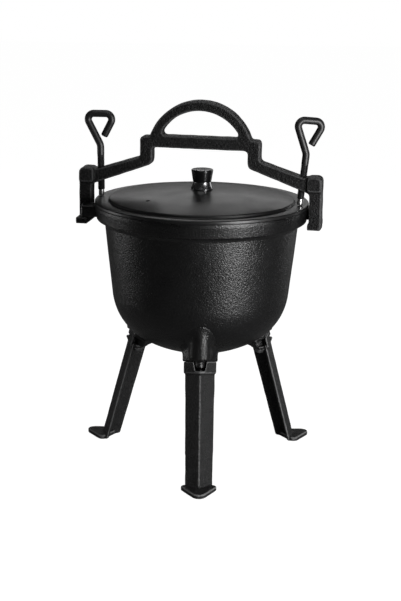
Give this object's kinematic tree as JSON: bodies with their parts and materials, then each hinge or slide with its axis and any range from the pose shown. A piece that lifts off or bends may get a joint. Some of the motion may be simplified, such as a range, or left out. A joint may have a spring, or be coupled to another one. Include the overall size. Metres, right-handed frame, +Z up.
{
  "type": "three-legged kettle",
  "caption": "Deep three-legged cast-iron cooking kettle whose lid is held down by a hooked clamp yoke with a carrying arch and two eye screws.",
  "frame": {"origin": "on the floor that the three pads stand on, under the kettle's axis", "axes": "+Z up along the kettle's axis; the front leg points to -Y; the clamp ears lie on +X and -X"},
  "size_m": [0.3369, 0.3281, 0.4979],
  "materials": {
    "pot_iron": "blackened, fine sand-cast skin",
    "lid_iron": "blackened, smooth satin",
    "yoke_iron": "blackened, coarse sand-cast skin",
    "leg_iron": "blackened, coarse sand-cast skin",
    "knob_metal": "black, glossy",
    "ferrule_metal": "black, glossy",
    "blackened_rod": "semi-gloss black",
    "bright_tip": "bare turned steel",
    "bolt_steel": "zinc-plated steel, dulled"
  },
  "bodies": {
    "kettle": {"kettle_body": "pot_iron", "leg_front": "leg_iron", "leg_bolt_front": "bolt_steel", "leg_washer_front": "bolt_steel", "leg_right": "leg_iron", "leg_bolt_right": "bolt_steel", "leg_washer_right": "bolt_steel", "leg_left": "leg_iron", "leg_bolt_left": "bolt_steel", "leg_washer_left": "bolt_steel"},
    "lid": {"lid": "lid_iron", "knob": "knob_metal", "knob_ferrule": "ferrule_metal", "knob_screw": "bolt_steel", "knob_washer": "bolt_steel"},
    "yoke": {"yoke": "yoke_iron"},
    "screw_tip_left": {"screw_tip_left": "bright_tip"},
    "clamp_screw_left": {"clamp_screw_left": "blackened_rod"},
    "screw_tip_right": {"screw_tip_right": "bright_tip"},
    "clamp_screw_right": {"clamp_screw_right": "blackened_rod"}
  },
  "joints": [
    {"name": "lid_turn", "type": "hinge", "parent": "kettle", "child": "lid", "pos_m": [0, 0, 0.3575], "axis": [0, 0, 1], "continuous": true},
    {"name": "yoke_turn", "type": "hinge", "parent": "kettle", "child": "yoke", "pos_m": [0, 0, 0.362], "axis": [0, 0, 1], "range_deg": [-155, 1.3]},
    {"name": "screw_rise_left", "type": "slide", "parent": "yoke", "child": "screw_tip_left", "axis": [-0.0206, 0.004, 0.9998], "range_m": [0, 0.0151]},
    {"name": "screw_turn_left", "type": "hinge", "parent": "screw_tip_left", "child": "clamp_screw_left", "pos_m": [-0.13712, 0.02411, 0.362], "axis": [-0.0206, 0.004, 0.9998], "range_deg": [0, 3600]},
    {"name": "screw_rise_right", "type": "slide", "parent": "yoke", "child": "screw_tip_right", "axis": [0.0992, -0.0193, 0.9949], "range_m": [0, 0.0151]},
    {"name": "screw_turn_right", "type": "hinge", "parent": "screw_tip_right", "child": "clamp_screw_right", "pos_m": [0.13077, -0.02797, 0.362], "axis": [0.0992, -0.0193, 0.9949], "range_deg": [0, 3600]}
  ],
  "couplings": [
    {"joint": "screw_rise_left", "follows": "screw_turn_left", "m_per_rad": 0.00023873},
    {"joint": "screw_rise_right", "follows": "screw_turn_right", "m_per_rad": 0.00023873}
  ]
}
